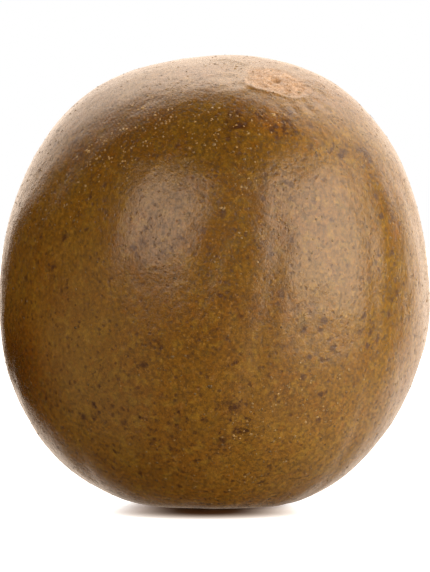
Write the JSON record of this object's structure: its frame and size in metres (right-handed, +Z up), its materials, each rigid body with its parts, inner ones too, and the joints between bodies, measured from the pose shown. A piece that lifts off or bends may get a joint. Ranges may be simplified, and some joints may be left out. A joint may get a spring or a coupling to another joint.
{
  "type": "dried monk fruit",
  "caption": "Whole dried monk fruit: a slightly dented brown ovoid with a pale stem scar near the top and a small flat spot that it stands on.",
  "frame": {"origin": "middle of the base, on the surface that the fruit stands on", "axes": "+Z up, from the flat spot to the crown; -Y towards the viewer of the picture; +X to the viewer's right, the side that the stem scar leans to"},
  "size_m": [0.0562, 0.0556, 0.0588],
  "materials": {
    "dry_skin": "satin"
  },
  "bodies": {
    "root": {"monk_fruit": "dry_skin"}
  },
  "joints": []
}
